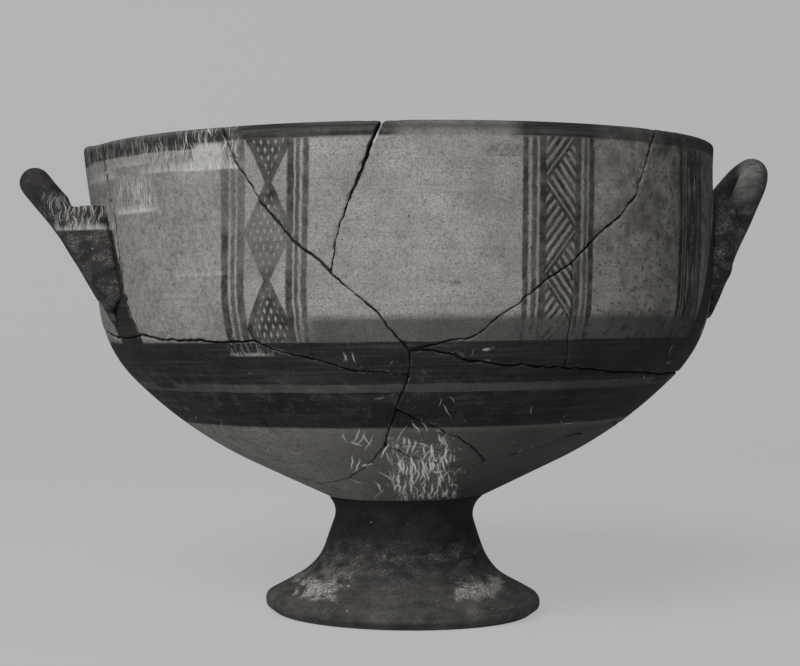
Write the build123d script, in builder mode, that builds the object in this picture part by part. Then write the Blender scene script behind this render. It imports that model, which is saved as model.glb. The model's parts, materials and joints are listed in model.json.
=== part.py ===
from build123d import *
import os
from math import atan2, cos, pi, radians, sin, sqrt, tan

# Footed two-handled drinking cup, mended from sherds. Millimetres, +Z up, base of the foot at z = 0.
# Azimuths are degrees round the bowl from the front (-Y), positive towards the right (+X).

# Bowl
rim_radius = 105.0
rim_height = 154.5
wall_thickness = 5.2
lip_height = 2.2
lip_round = 1.3
wall_flare = 3.3
shoulder_radius = 41.5
shoulder_turn = 41.0
belly_turn = 20.2
cone_length = 27.1
floor_dish_radius = 92.0
joint_height = 39.5
joint_radius = 26.2
bowl_lean = 1.4
bowl_shift = 1.0

# Foot
waist_radius = 22.0
waist_drop = 3.1
trim_height = 4.6
flare_radius = 28.8
flare_height = 15.9
toe_radius = 46.1
toe_height = 6.0
toe_drop = 2.6
base_radius = 42.6
ring_width = 4.6
hollow_roof = 9.5
hollow_top_radius = 13.5
hollow_waist_radius = 19.0
hollow_waist_height = 16.5
waist_round = 7.0
flare_round = 18.0
toe_round = 3.0
edge_round = 1.2
hollow_round = 5.0

# Handles
left_overhang = 17.5
left_tip_drop = 9.7
left_swell = 9.6
left_back_drop = 0.0
right_overhang = 17.8
right_tip_drop = 1.3
right_swell = 7.4
right_back_drop = 9.2
root_drop = 39.5
root_spread = 29.0
bow_half_width = 19.5
bow_flat = 2.0
rod_radius = 5.0
root_depth = 11.0
smear_down = 17.5
smear_up = 12.0
smear_radius = 6.6
smear_tip_radius = 1.6
press_spare = 0.3
web_length = 22.5
web_tip_radius = 4.4
web_wall_share = 2.0

# Breaks
drawn_rim = 154.5
drawn_joint = 39.5
core_height = 105.0
rim_spare = 16.0
above_rim = drawn_rim + rim_spare
cutter_spare = 60.0
hairline = 0.7
crack = 0.85
open_crack = 1.1
wedge_gap_top = 2.6
wedge_gap_middle = 1.4
wedge_gap_low = 0.9
no_gap = 0.0
glue_recess = 1.5
glue_top_gap = 2.0
glue_free_height = 141.0
parallel_share = 0.001

# Break points: azimuth, height on a bowl of the drawn rim and joint heights, width of the gap there
break_points = {
    "left_rim": (-71.5, above_rim, crack),
    "left_upper": (-69.5, 137.0, crack),
    "left_lower": (-67.5, 110.0, crack),
    "left_corner": (-64.0, 94.5, open_crack),
    "lozenge_rim": (-40.5, above_rim, crack),
    "lozenge_1": (-36.5, 145.0, crack),
    "lozenge_2": (-32.0, 132.0, crack),
    "lozenge_3": (-27.5, 121.5, open_crack),
    "fork": (-21.0, 112.0, crack),
    "wedge_rim": (-7.5, above_rim, wedge_gap_top),
    "wedge_1": (-13.5, 147.5, wedge_gap_middle),
    "wedge_2": (-17.0, 135.0, wedge_gap_low),
    "wedge_3": (-19.5, 125.5, hairline),
    "centre_1": (-14.5, 102.0, crack),
    "centre_node": (-8.5, 90.0, open_crack),
    "right_rim": (42.5, above_rim, crack),
    "right_1": (35.8, 145.0, crack),
    "right_2": (32.6, 134.5, crack),
    "right_3": (28.2, 127.0, crack),
    "right_fork": (19.0, 114.5, crack),
    "field_1": (6.5, 99.0, hairline),
    "field_2": (2.0, 93.0, hairline),
    "panel_1": (19.4, 107.5, hairline),
    "panel_2": (19.5, 92.0, hairline),
    "panel_foot": (21.0, 83.5, crack),
    "ledge_back": (-124.0, 96.0, crack),
    "ledge_1": (-92.0, 97.0, crack),
    "ledge_2": (-70.0, 93.5, crack),
    "ledge_3": (-47.0, 92.5, open_crack),
    "ledge_4": (-36.0, 92.0, crack),
    "ledge_5": (-27.5, 88.0, crack),
    "ledge_6": (-18.0, 83.5, crack),
    "ledge_end": (-8.5, 82.5, crack),
    "belt_1": (-0.5, 88.0, crack),
    "belt_2": (2.5, 86.0, open_crack),
    "belt_3": (9.0, 85.0, crack),
    "belt_4": (35.5, 82.0, crack),
    "belt_5": (66.0, 80.5, crack),
    "belt_6": (96.0, 82.0, crack),
    "belt_back": (125.0, 83.0, crack),
    "splinter_top": (-11.0, 72.0, crack),
    "splinter_left": (-15.0, 60.0, crack),
    "splinter_1": (-4.0, 67.0, hairline),
    "splinter_2": (4.0, 63.0, hairline),
    "splinter_3": (10.5, 58.0, hairline),
    "splinter_right": (16.5, 53.5, crack),
    "splinter_4": (11.5, 52.0, hairline),
    "splinter_5": (-2.0, 54.0, hairline),
    "floor_1": (-21.0, 54.0, hairline),
    "floor_2": (-33.0, 48.5, hairline),
    "floor_3": (-60.0, 45.5, hairline),
    "floor_4": (-92.0, 46.5, hairline),
    "floor_5": (-126.0, 48.5, hairline),
    "floor_6": (-162.0, 53.0, hairline),
    "floor_7": (162.0, 58.0, hairline),
    "floor_8": (126.0, 62.5, hairline),
    "floor_9": (90.0, 65.5, hairline),
    "floor_10": (55.0, 64.5, crack),
    "floor_11": (38.5, 61.0, crack),
    "floor_12": (26.0, 56.5, crack),
    "back_left_rim": (-120.5, above_rim, crack),
    "back_left_1": (-126.5, 126.0, crack),
    "back_left_2": (-128.0, 72.0, crack),
    "back_right_rim": (129.0, above_rim, crack),
    "back_right_1": (122.5, 118.0, crack),
    "back_right_2": (127.5, 72.0, crack),
    "window_1": (-20.0, glue_free_height, no_gap),
    "window_2": (-20.0, above_rim, no_gap),
    "window_3": (-4.0, above_rim, no_gap),
    "window_4": (-4.0, glue_free_height, no_gap),
}

# The bowl stands on the foot with a slight lean to the left, as it was luted
lean = radians(bowl_lean)
bowl_frame = Plane(
    origin=(bowl_shift, 0, joint_height),
    x_dir=(cos(lean), 0, sin(lean)),
    z_dir=(-sin(lean), 0, cos(lean)),
)
bowl_section = Plane(origin=bowl_frame.origin, x_dir=bowl_frame.x_dir, z_dir=-bowl_frame.y_dir)
bowl_axis = Axis(bowl_frame.origin, bowl_frame.z_dir)

# The wall's outline is a straight flared wall, two tangent arcs and a straight cone down to the joint.
# Heights in the outline are counted from the joint.
wall_angle = wall_flare
shoulder_angle = wall_flare + shoulder_turn
cone_angle = shoulder_angle + belly_turn


def along(angle):
    return Vector(cos(radians(angle)), -sin(radians(angle)))


def cross(first, second):
    return first.X * second.Y - first.Y * second.X


# The straight wall's length and the belly's radius take up what is left between the rim and the joint
wall_start = Vector(rim_radius, rim_height - joint_height - lip_height)
wall_down = Vector(-sin(radians(wall_angle)), -cos(radians(wall_angle)))
cone_down = Vector(-sin(radians(cone_angle)), -cos(radians(cone_angle)))
shoulder_run = (along(shoulder_angle) - along(wall_angle)) * shoulder_radius
belly_way = along(cone_angle) - along(shoulder_angle)
left_over = Vector(joint_radius, 0) - wall_start - shoulder_run - cone_down * cone_length
wall_length = cross(left_over, belly_way) / cross(wall_down, belly_way)
belly_radius = cross(wall_down, left_over) / cross(wall_down, belly_way)
wall_end = wall_start + wall_down * wall_length
shoulder_centre = wall_end - along(wall_angle) * shoulder_radius
belly_centre = shoulder_centre - along(shoulder_angle) * (belly_radius - shoulder_radius)


def cone_start(depth):
    return belly_centre + along(cone_angle) * (belly_radius - depth)


# Radius of the outer face at a level above the joint
def outer_radius(level):
    shoulder_end = shoulder_centre + along(shoulder_angle) * shoulder_radius
    if level > wall_end.Y:
        return wall_end.X + (level - wall_end.Y) * tan(radians(wall_flare))
    if level > shoulder_end.Y:
        return shoulder_centre.X + sqrt(shoulder_radius**2 - (level - shoulder_centre.Y) ** 2)
    if level > cone_start(0).Y:
        return belly_centre.X + sqrt(belly_radius**2 - (level - belly_centre.Y) ** 2)
    return cone_start(0).X - (cone_start(0).Y - level) * tan(radians(cone_angle))


# One side of the wall at a depth under the outer face, drawn from the top down to the cone
def wall_side(depth, top):
    start = wall_start - along(wall_angle) * depth + wall_down * top
    Line(start, wall_end - along(wall_angle) * depth)
    CenterArc(shoulder_centre, shoulder_radius - depth, -wall_angle, -shoulder_turn)
    CenterArc(belly_centre, belly_radius - depth, -shoulder_angle, -belly_turn)
    return start


# Closed outline of the wall between two depths, with the dished floor inside and the flat joint below
def wall_outline(outer_depth, inner_depth, top):
    steep = radians(90 - cone_angle)
    outer_start = wall_side(outer_depth, top)
    inner_start = wall_side(inner_depth, top)
    joint_edge = cone_start(outer_depth)
    joint_edge = joint_edge + cone_down * (joint_edge.Y / cos(radians(cone_angle)))
    Line(cone_start(outer_depth), joint_edge)
    inner_cone = cone_start(inner_depth)
    dish_radius = floor_dish_radius + wall_thickness - inner_depth
    dish_level = inner_cone.Y - inner_cone.X * tan(steep) + dish_radius / cos(steep)
    dish_edge = Vector(dish_radius * sin(steep), dish_level - dish_radius * cos(steep))
    Line(inner_cone, dish_edge)
    CenterArc((0, dish_level), dish_radius, -cone_angle, cone_angle - 90)
    Line((0, dish_level - dish_radius), (0, 0))
    Line((0, 0), joint_edge)
    if top == 0:
        lip = wall_down * -lip_height
        FilletPolyline(outer_start, outer_start + lip, inner_start + lip, inner_start, radius=lip_round)
    else:
        Line(outer_start, inner_start)


# Height of a break point above the joint, stretched with the bowl
def break_level(height):
    return (height - drawn_joint) * (rim_height - joint_height) / (drawn_rim - drawn_joint)


# A wedge from the bowl's core out past the wall, whose outline on the wall runs through the named break
# points, drawn in by half the gap at each of them
def wedge(names):
    core = bowl_frame.from_local_coords(Vector(0, 0, break_level(core_height)))
    cutter_reach = rim_radius + cutter_spare
    rays = []
    for name in names:
        azimuth, height, gap = break_points[name]
        level = break_level(height)
        radius = outer_radius(level)
        spot = Vector(radius * sin(radians(azimuth)), -radius * cos(radians(azimuth)), level)
        rays.append((bowl_frame.from_local_coords(spot) - core, gap / 2))
    middle = Vector(0, 0, 0)
    for ray, half_gap in rays:
        middle = middle + ray.normalized()
    base = Plane(origin=core + middle.normalized() * cutter_reach, z_dir=middle.normalized())
    corners = []
    for ray, half_gap in rays:
        stretch = cutter_reach / ray.dot(base.z_dir)
        local = base.to_local_coords(core + ray * stretch)
        corners.append((local.X, local.Y, half_gap * stretch))
    drawn_in = inset(corners)
    tips = [base.from_local_coords(Vector(x, y, 0)) for x, y in drawn_in]
    sides = [Face(Wire.make_polygon([core, tips[i - 1], tips[i]])) for i in range(len(tips))]
    return Solid(Shell(sides + [Face(Wire.make_polygon(tips))]))


# Moves every edge of a polygon inwards by the distance given at its two ends
def inset(corners):
    count = len(corners)
    area = 0
    for i in range(count):
        area += corners[i - 1][0] * corners[i][1] - corners[i][0] * corners[i - 1][1]
    inward = 1 if area > 0 else -1
    edges = []
    for i in range(count):
        ax, ay, a_gap = corners[i - 1]
        bx, by, b_gap = corners[i]
        length = sqrt((bx - ax) ** 2 + (by - ay) ** 2)
        nx = -(by - ay) / length * inward
        ny = (bx - ax) / length * inward
        edges.append((ax + nx * a_gap, ay + ny * a_gap, bx + nx * b_gap, by + ny * b_gap))
    moved = []
    for i in range(count):
        x1, y1, x2, y2 = edges[i]
        x3, y3, x4, y4 = edges[(i + 1) % count]
        turn = (x2 - x1) * (y4 - y3) - (y2 - y1) * (x4 - x3)
        if abs(turn) < parallel_share * ((x2 - x1) ** 2 + (y2 - y1) ** 2):
            moved.append((x2, y2))
        else:
            share = ((x3 - x1) * (y4 - y3) - (y3 - y1) * (x4 - x3)) / turn
            moved.append((x1 + (x2 - x1) * share, y1 + (y2 - y1) * share))
    return moved


os.makedirs("parts", exist_ok=True)

# The bowl as it was before it broke
with BuildPart() as whole_bowl:
    with BuildSketch(bowl_section):
        with BuildLine():
            wall_outline(0, wall_thickness, 0)
        make_face()
    revolve(axis=bowl_axis)

# The same bowl filled solid, which trims the handle roots to the wall
with BuildPart() as bowl_mass:
    with BuildSketch(bowl_section):
        with BuildLine():
            rim_edge = wall_side(0, 0)
            mass_edge = cone_start(0)
            Polyline(mass_edge, (0, mass_edge.Y), (0, rim_edge.Y), rim_edge)
        make_face()
    revolve(axis=bowl_axis)

with BuildPart() as left_panel_sherd:
    add(whole_bowl.part)
    add(
        wedge(
            [
                "left_rim", "left_upper", "left_lower", "left_corner", "ledge_3", "ledge_4", "ledge_5",
                "ledge_6", "ledge_end", "centre_node", "centre_1", "fork", "lozenge_3", "lozenge_2",
                "lozenge_1", "lozenge_rim",
            ]
        ),
        mode=Mode.INTERSECT,
    )
left_panel_sherd.part.label = "left_panel_sherd"
export_step(left_panel_sherd.part, "parts/left_panel_sherd.step")

with BuildPart() as rim_wedge_sherd:
    add(whole_bowl.part)
    add(
        wedge(
            [
                "lozenge_rim", "lozenge_1", "lozenge_2", "lozenge_3", "fork", "wedge_3", "wedge_2",
                "wedge_1", "wedge_rim",
            ]
        ),
        mode=Mode.INTERSECT,
    )
rim_wedge_sherd.part.label = "rim_wedge_sherd"
export_step(rim_wedge_sherd.part, "parts/rim_wedge_sherd.step")

with BuildPart() as centre_field_sherd:
    add(whole_bowl.part)
    add(
        wedge(
            [
                "wedge_rim", "wedge_1", "wedge_2", "wedge_3", "fork", "centre_1", "centre_node",
                "field_2", "field_1", "right_fork", "right_3", "right_2", "right_1", "right_rim",
            ]
        ),
        mode=Mode.INTERSECT,
    )
centre_field_sherd.part.label = "centre_field_sherd"
export_step(centre_field_sherd.part, "parts/centre_field_sherd.step")

with BuildPart() as lower_panel_sherd:
    add(whole_bowl.part)
    add(
        wedge(
            [
                "right_fork", "field_1", "field_2", "centre_node", "belt_1", "belt_2", "belt_3",
                "panel_foot", "panel_2", "panel_1",
            ]
        ),
        mode=Mode.INTERSECT,
    )
lower_panel_sherd.part.label = "lower_panel_sherd"
export_step(lower_panel_sherd.part, "parts/lower_panel_sherd.step")

with BuildPart() as right_handle_sherd:
    add(whole_bowl.part)
    add(
        wedge(
            [
                "right_rim", "right_1", "right_2", "right_3", "right_fork", "panel_1", "panel_2",
                "panel_foot", "belt_4", "belt_5", "belt_6", "belt_back", "back_right_1",
                "back_right_rim",
            ]
        ),
        mode=Mode.INTERSECT,
    )
right_handle_sherd.part.label = "right_handle_sherd"
export_step(right_handle_sherd.part, "parts/right_handle_sherd.step")

with BuildPart() as left_handle_sherd:
    add(whole_bowl.part)
    add(
        wedge(
            [
                "left_rim", "left_upper", "left_lower", "left_corner", "ledge_2", "ledge_1",
                "ledge_back", "back_left_1", "back_left_rim",
            ]
        ),
        mode=Mode.INTERSECT,
    )
left_handle_sherd.part.label = "left_handle_sherd"
export_step(left_handle_sherd.part, "parts/left_handle_sherd.step")

with BuildPart() as lower_left_sherd:
    add(whole_bowl.part)
    add(
        wedge(
            [
                "left_corner", "ledge_2", "ledge_1", "ledge_back", "back_left_2", "floor_5", "floor_4",
                "floor_3", "floor_2", "floor_1", "splinter_left", "splinter_top", "ledge_end",
                "ledge_6", "ledge_5", "ledge_4", "ledge_3",
            ]
        ),
        mode=Mode.INTERSECT,
    )
lower_left_sherd.part.label = "lower_left_sherd"
export_step(lower_left_sherd.part, "parts/lower_left_sherd.step")

with BuildPart() as lower_right_sherd:
    add(whole_bowl.part)
    add(
        wedge(
            [
                "centre_node", "ledge_end", "splinter_top", "splinter_1", "splinter_2", "splinter_3",
                "splinter_right", "floor_12", "floor_11", "floor_10", "floor_9", "floor_8",
                "back_right_2", "belt_back", "belt_6", "belt_5", "belt_4", "panel_foot", "belt_3",
                "belt_2", "belt_1",
            ]
        ),
        mode=Mode.INTERSECT,
    )
lower_right_sherd.part.label = "lower_right_sherd"
export_step(lower_right_sherd.part, "parts/lower_right_sherd.step")

with BuildPart() as lower_splinter:
    add(whole_bowl.part)
    add(
        wedge(
            [
                "splinter_top", "splinter_left", "splinter_5", "splinter_4", "splinter_right",
                "splinter_3", "splinter_2", "splinter_1",
            ]
        ),
        mode=Mode.INTERSECT,
    )
lower_splinter.part.label = "lower_splinter"
export_step(lower_splinter.part, "parts/lower_splinter.step")

with BuildPart() as back_sherd:
    add(whole_bowl.part)
    add(
        wedge(
            [
                "back_left_rim", "back_left_1", "ledge_back", "back_left_2", "floor_5", "floor_6",
                "floor_7", "floor_8", "back_right_2", "belt_back", "back_right_1", "back_right_rim",
            ]
        ),
        mode=Mode.INTERSECT,
    )
back_sherd.part.label = "back_sherd"
export_step(back_sherd.part, "parts/back_sherd.step")

with BuildPart() as floor_sherd:
    add(whole_bowl.part)
    add(
        wedge(
            [
                "splinter_left", "floor_1", "floor_2", "floor_3", "floor_4", "floor_5", "floor_6",
                "floor_7", "floor_8", "floor_9", "floor_10", "floor_11", "floor_12",
                "splinter_right", "splinter_4", "splinter_5",
            ]
        ),
        mode=Mode.INTERSECT,
    )
floor_sherd.part.label = "floor_sherd"
export_step(floor_sherd.part, "parts/floor_sherd.step")

# Glue in the breaks, set back from both faces and left out of the open top of the front break
sherds = [
    left_panel_sherd, rim_wedge_sherd, centre_field_sherd, lower_panel_sherd, right_handle_sherd,
    left_handle_sherd, lower_left_sherd, lower_right_sherd, lower_splinter, back_sherd, floor_sherd,
]
with BuildPart() as mending_adhesive:
    with BuildSketch(bowl_section):
        with BuildLine():
            wall_outline(glue_recess, wall_thickness - glue_recess, glue_top_gap)
        make_face()
    revolve(axis=bowl_axis)
    for sherd in sherds:
        add(sherd.part, mode=Mode.SUBTRACT)
    add(wedge(["window_1", "window_2", "window_3", "window_4"]), mode=Mode.SUBTRACT)
mending_adhesive.part.label = "mending_adhesive"
export_step(mending_adhesive.part, "parts/mending_adhesive.step")

# Foot, hollow underneath, resting on a flat ring and meeting the bowl on the leaning joint. It is drawn a
# little past the joint and trimmed there.
waist_height = joint_height - waist_drop
hollow_height = joint_height - hollow_roof
stem_top_height = joint_height + trim_height
stem_top_radius = joint_radius + (joint_radius - waist_radius) * trim_height / waist_drop
with BuildPart() as foot:
    with BuildSketch(Plane.XZ):
        with BuildLine():
            FilletPolyline(
                (stem_top_radius, stem_top_height),
                (waist_radius, waist_height),
                (flare_radius, flare_height),
                (toe_radius, toe_height),
                (toe_radius, toe_drop),
                (base_radius, 0),
                (base_radius - ring_width, 0),
                radius=[waist_round, flare_round, toe_round, edge_round, edge_round],
            )
            FilletPolyline(
                (base_radius - ring_width, 0),
                (hollow_waist_radius, hollow_waist_height),
                (hollow_top_radius, hollow_height),
                (0, hollow_height),
                radius=[hollow_round, hollow_round],
            )
            Polyline(
                (0, hollow_height),
                (0, stem_top_height),
                (stem_top_radius, stem_top_height),
            )
        make_face()
    revolve(axis=Axis.Z)
    split(bisect_by=bowl_frame, keep=Keep.BOTTOM)
foot.part.label = "foot"
export_step(foot.part, "parts/foot.step")


# The spot on the outer face at a level above the joint, a distance across from the middle of a side
def on_wall(side, across, level):
    outwards = side * sqrt(outer_radius(level) ** 2 - across**2)
    return bowl_frame.from_local_coords(Vector(outwards, across, level))


# A rolled loop in a plane that slants up and outwards, its back arm a little lower. The arms swell to where
# they are pressed on. Each is smeared up and down the wall there, with a web of clay in its crook.
def rolled_loop(side, overhang, tip_drop, swell, back_drop):
    rim_level = rim_height - joint_height
    root_level = rim_level - root_drop
    middle_level = root_level - back_drop / 2
    root_radius = sqrt(outer_radius(root_level) ** 2 - root_spread**2)
    root = Vector(side * root_radius, 0, middle_level)
    tip = Vector(side * (rim_radius + overhang), 0, rim_level - tip_drop - back_drop / 2)
    backwards = Vector(0, root_spread, -back_drop / 2) * side
    root_point = bowl_frame.from_local_coords(root)
    outwards = bowl_frame.from_local_coords(tip) - root_point
    spread = bowl_frame.from_local_coords(root + backwards) - root_point
    slant = Plane(origin=root_point, x_dir=spread, z_dir=spread.cross(outwards))
    from_base = (Align.CENTER, Align.CENTER, Align.MIN)
    length = (tip - root).length
    splay = atan2(root_spread - bow_half_width, length + root_depth)
    bow_round = (bow_half_width - bow_flat / 2) / tan(pi / 4 - splay / 2)
    with BuildLine(slant) as loop:
        FilletPolyline(
            (-root_spread, -root_depth),
            (-bow_half_width, length),
            (bow_half_width, length),
            (root_spread, -root_depth),
            radius=bow_round,
        )
    first_arm, *bow, last_arm = loop.wires()[0].order_edges()
    bend = Wire(bow)
    with BuildSketch(Plane(origin=bend @ 0, z_dir=bend % 0)) as rod:
        Circle(rod_radius)
    sweep(rod.sketch, path=bend)
    arms = ((first_arm @ 0, bend @ 0, -side), (last_arm @ 1, bend @ 1, side))
    for foot_point, top_point, hand in arms:
        arm = top_point - foot_point
        with Locations(Plane(origin=foot_point, z_dir=arm)):
            Cone(swell, rod_radius, arm.length, align=from_base)
        across = hand * root_spread
        arm_level = middle_level - hand * back_drop / 2
        pressed = on_wall(side, across, arm_level)
        with Locations(pressed):
            Sphere(smear_radius + press_spare)
        smear_up_wall = on_wall(side, across, arm_level + smear_up) - pressed
        smear_down_wall = on_wall(side, across, arm_level - smear_down) - pressed
        for smear in (smear_up_wall, smear_down_wall):
            with Locations(Plane(origin=pressed, z_dir=smear)):
                Cone(smear_radius, smear_tip_radius, smear.length, align=from_base)
        web = arm.normalized() + smear_up_wall.normalized() * web_wall_share
        with Locations(Plane(origin=pressed, z_dir=web)):
            Cone(smear_radius, web_tip_radius, web_length, align=from_base)


with BuildPart() as left_handle:
    rolled_loop(-1, left_overhang, left_tip_drop, left_swell, left_back_drop)
    add(bowl_mass.part, mode=Mode.SUBTRACT)
left_handle.part.label = "left_handle"
export_step(left_handle.part, "parts/left_handle.step")

with BuildPart() as right_handle:
    rolled_loop(1, right_overhang, right_tip_drop, right_swell, right_back_drop)
    add(bowl_mass.part, mode=Mode.SUBTRACT)
right_handle.part.label = "right_handle"
export_step(right_handle.part, "parts/right_handle.step")
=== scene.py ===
import json
import math

import bpy
from mathutils import Euler, Matrix, Vector, noise
from mathutils.bvhtree import BVHTree

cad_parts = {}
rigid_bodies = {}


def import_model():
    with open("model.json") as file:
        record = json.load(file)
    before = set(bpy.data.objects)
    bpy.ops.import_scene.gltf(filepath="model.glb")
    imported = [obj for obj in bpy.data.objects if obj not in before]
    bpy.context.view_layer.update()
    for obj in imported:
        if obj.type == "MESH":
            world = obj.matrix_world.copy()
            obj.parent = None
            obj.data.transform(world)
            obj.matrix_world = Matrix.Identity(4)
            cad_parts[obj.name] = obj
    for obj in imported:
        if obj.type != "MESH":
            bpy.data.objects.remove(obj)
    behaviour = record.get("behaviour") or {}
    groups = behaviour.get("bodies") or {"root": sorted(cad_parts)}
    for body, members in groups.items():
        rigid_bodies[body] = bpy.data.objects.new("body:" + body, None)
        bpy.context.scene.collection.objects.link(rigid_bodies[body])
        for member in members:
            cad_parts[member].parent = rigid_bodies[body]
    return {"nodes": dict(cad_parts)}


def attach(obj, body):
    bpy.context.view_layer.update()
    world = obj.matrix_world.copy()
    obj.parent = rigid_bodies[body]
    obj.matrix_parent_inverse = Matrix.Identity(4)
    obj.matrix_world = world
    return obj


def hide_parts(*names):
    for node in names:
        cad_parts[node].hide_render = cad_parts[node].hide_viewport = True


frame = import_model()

mm = 0.001
scene = bpy.context.scene
scene.view_settings.view_transform = "Standard"
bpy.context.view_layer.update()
print("frame loaded,", len(frame["nodes"]), "nodes")


def linear(hexColour):  # sRGB hex to the linear values that sockets take
    channels = [int(hexColour[place:place + 2], 16) / 255 for place in (1, 3, 5)]
    return [c / 12.92 if c <= 0.04045 else ((c + 0.055) / 1.055) ** 2.4 for c in channels] + [1.0]


def addNode(tree, kind, inputs={}, **settings):  # one node, its settings, and links or values for its sockets
    node = tree.nodes.new(kind)
    for name, value in settings.items():
        setattr(node, name, value)
    for key, value in inputs.items():
        if isinstance(value, bpy.types.Node):
            value = value.outputs[0]
        if isinstance(value, bpy.types.NodeSocket):
            tree.links.new(value, node.inputs[key])
        else:
            node.inputs[key].default_value = value
    return node


def newMaterial(name):
    material = bpy.data.materials.new(name)
    material.use_nodes = True
    material.node_tree.nodes.clear()
    return material, material.node_tree


# Where a point lies on the bowl: azimuth from the front, height, and which way its face looks
bowlFrame = {
    "lean": math.radians(1.4),  # the bowl was luted on a little askew
    "foot": (1.965 * mm, 0.0, 0.0),  # where its axis meets the table
    "core": (0.0, 0.0, 105.0),  # the breaks all run towards this point of the axis
    "quarterTurn": 90.0,
    "sideways": (0.988, -0.156, 0.0),  # straight across the painted front
}


def bowlPlace(tree):
    own = addNode(tree, "ShaderNodeTexCoord")
    point = addNode(
        tree,
        "ShaderNodeMapping",
        {
            "Vector": own.outputs["Object"],
            "Location": bowlFrame["foot"],
            "Rotation": (0.0, -bowlFrame["lean"], 0.0),
            "Scale": (mm, mm, mm),
        },
        vector_type="TEXTURE",
    )
    axes = addNode(tree, "ShaderNodeSeparateXYZ", {0: point})
    frontward = addNode(tree, "ShaderNodeMath", {0: axes.outputs[1], 1: -1.0}, operation="MULTIPLY")
    turn = addNode(tree, "ShaderNodeMath", {0: axes.outputs[0], 1: frontward}, operation="ARCTAN2")
    azimuth = addNode(tree, "ShaderNodeMath", {0: turn}, operation="DEGREES")
    outward = addNode(tree, "ShaderNodeVectorMath", {0: point, 1: bowlFrame["core"]}, operation="SUBTRACT")
    outward = addNode(tree, "ShaderNodeVectorMath", {0: outward}, operation="NORMALIZE")
    facing = addNode(
        tree, "ShaderNodeVectorMath", {0: outward, 1: own.outputs["Normal"]}, operation="DOT_PRODUCT"
    )
    return point, azimuth.outputs[0], axes.outputs[2], facing.outputs["Value"]


# Strokes of the brush across a value, each from edge to edge at its own strength; the ramp carries them in
# its alpha, because a colour takes three times the room and Cycles has little for so large a material
def strokes(tree, value, spans, soft):
    low = min(span[0] for span in spans) - 4 * soft
    high = max(span[1] for span in spans) + 4 * soft
    along = addNode(tree, "ShaderNodeMapRange", {"Value": value, "From Min": low, "From Max": high})
    ramp = addNode(tree, "ShaderNodeValToRGB", {0: along})
    elements = ramp.color_ramp.elements
    elements[0].color = (1, 1, 1, 0)
    elements[1].color = (1, 1, 1, 0)
    for first, last, strength in spans:
        for edge, amount in ((first - soft, 0), (first + soft, 1), (last - soft, 1), (last + soft, 0)):
            stop = elements.new((edge - low) / (high - low))
            stop.color = (1, 1, 1, amount * strength)
    return ramp.outputs["Alpha"]


# A value carried from one range to another, and held at its ends
def spread(tree, value, low, high, toLow=0.0, toHigh=1.0):
    return addNode(
        tree,
        "ShaderNodeMapRange",
        {"Value": value, "From Min": low, "From Max": high, "To Min": toLow, "To Max": toHigh},
    )


def under(tree, value, edge, soft):  # 1 below an edge, 0 above it
    return spread(tree, value, edge + soft, edge - soft)


def both(tree, first, second):
    return addNode(tree, "ShaderNodeMath", {0: first, 1: second}, operation="MULTIPLY")


def either(tree, first, second):
    return addNode(tree, "ShaderNodeMath", {0: first, 1: second}, operation="MAXIMUM")


def lessOf(tree, first, second):  # the first, less the share that the second takes away
    return both(tree, first, spread(tree, second, 0.0, 1.0, 1.0, 0.0))


def blend(tree, amount, first, second):
    mix = addNode(tree, "ShaderNodeMix", {0: amount, 6: first, 7: second}, data_type="RGBA")
    return mix.outputs[2]


# Cloudy variation of a size in millimetres, drawn out along x, y or z
def clouds(tree, point, size, detail=3.0, stretch=(1.0, 1.0, 1.0), shift=0.0):
    scaled = addNode(
        tree,
        "ShaderNodeMapping",
        {"Vector": point, "Location": (shift, shift, shift), "Scale": [1 / (size * s) for s in stretch]},
    )
    return addNode(
        tree, "ShaderNodeTexNoise", {"Vector": scaled, "Scale": 1.0, "Detail": detail, "Roughness": 0.6}
    )


# Even hatching across a value: spacing of the strokes, and their share of it
def hatching(tree, value, spacing, share, soft):
    off = addNode(tree, "ShaderNodeMath", {0: value, 1: spacing / 2}, operation="PINGPONG")
    return under(tree, off, spacing / 2 * share, soft)


def specks(tree, point, spacing, size, share):  # scattered grit, one speck to a cell at most
    scaled = addNode(tree, "ShaderNodeVectorMath", {0: point, "Scale": 1 / spacing}, operation="SCALE")
    cells = addNode(tree, "ShaderNodeTexVoronoi", {"Vector": scaled, "Scale": 1.0})
    shown = under(tree, addNode(tree, "ShaderNodeSeparateColor", {0: cells.outputs["Color"]}), share, 0.01)
    return both(tree, shown, under(tree, cells.outputs["Distance"], size / spacing, 0.4 * size / spacing))


# Hair-thin strokes scattered over a sheet, measured in millimetres along it and up it
def hairs(tree, point, along, height, kind):
    bent = clouds(tree, point, kind["bend"], 1.0, shift=kind["shift"])
    sway = spread(tree, bent, 0.0, 1.0, -kind["sway"], kind["sway"])
    across = addNode(tree, "ShaderNodeMath", {0: height, 1: kind["lean"], 2: sway}, operation="MULTIPLY_ADD")
    across = addNode(tree, "ShaderNodeMath", {0: along, 1: across}, operation="ADD")
    column = addNode(
        tree, "ShaderNodeMath", {0: across, 1: 1 / kind["apart"], 2: kind["shift"]}, operation="MULTIPLY_ADD"
    )
    row = addNode(
        tree, "ShaderNodeMath", {0: height, 1: 1 / kind["rows"], 2: kind["shift"]}, operation="MULTIPLY_ADD"
    )
    sheet = addNode(tree, "ShaderNodeCombineXYZ", {0: column, 1: row})
    cells = addNode(
        tree, "ShaderNodeTexVoronoi", {"Vector": sheet, "Scale": 1.0}, voronoi_dimensions="2D"
    )
    chance = addNode(tree, "ShaderNodeSeparateColor", {0: cells.outputs["Color"]})
    shown = under(tree, chance.outputs[0], kind["share"], 0.01)
    shown = both(tree, shown, spread(tree, chance.outputs[1], 0.0, 1.0, kind["faint"], 1.0))
    thin = kind["width"] / kind["apart"]
    return both(tree, shown, under(tree, cells.outputs["Distance"], thin, 0.4 * thin))


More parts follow.
